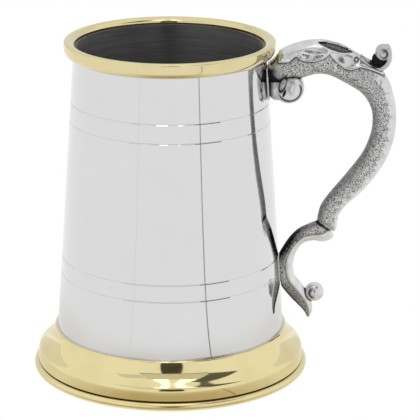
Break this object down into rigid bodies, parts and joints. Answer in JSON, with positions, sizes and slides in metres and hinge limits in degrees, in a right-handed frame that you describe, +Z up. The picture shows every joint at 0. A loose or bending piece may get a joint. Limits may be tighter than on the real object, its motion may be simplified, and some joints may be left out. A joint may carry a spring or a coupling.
{
  "type": "pewter tankard",
  "caption": "Lidless pint tankard: tapered polished pewter barrel with engraved rings, brass rim band and flared brass foot, cast pewter S scroll handle with leaf and thumb scroll",
  "frame": {"origin": "centre of the foot ring's standing face, on the floor plane, on the barrel's axis", "axes": "+Z up along the barrel's axis, +X towards the handle, +Y the tankard's side, completing a right-handed frame"},
  "size_m": [0.138, 0.1054, 0.1299],
  "materials": {
    "pewter_polished": "mirror polished pewter outside, finely turned inside",
    "pewter_antiqued": "cast pewter, stippled and darkened, high places buffed",
    "brass_polished": "polished pale brass",
    "solder": "satin tin solder"
  },
  "bodies": {
    "root": {"barrel": "pewter_polished", "barrel_seam": "solder", "base_plate": "pewter_polished", "base_solder": "solder", "rim_band": "brass_polished", "rim_solder": "solder", "foot_ring": "brass_polished", "foot_solder": "solder", "handle_arm": "pewter_antiqued", "acanthus_leaf": "pewter_antiqued", "thumb_scroll": "pewter_antiqued", "upper_volute": "pewter_antiqued", "lower_scroll": "pewter_antiqued", "scroll_ball": "pewter_antiqued", "upper_solder_pad": "solder", "lower_solder_pad": "solder"}
  },
  "joints": []
}
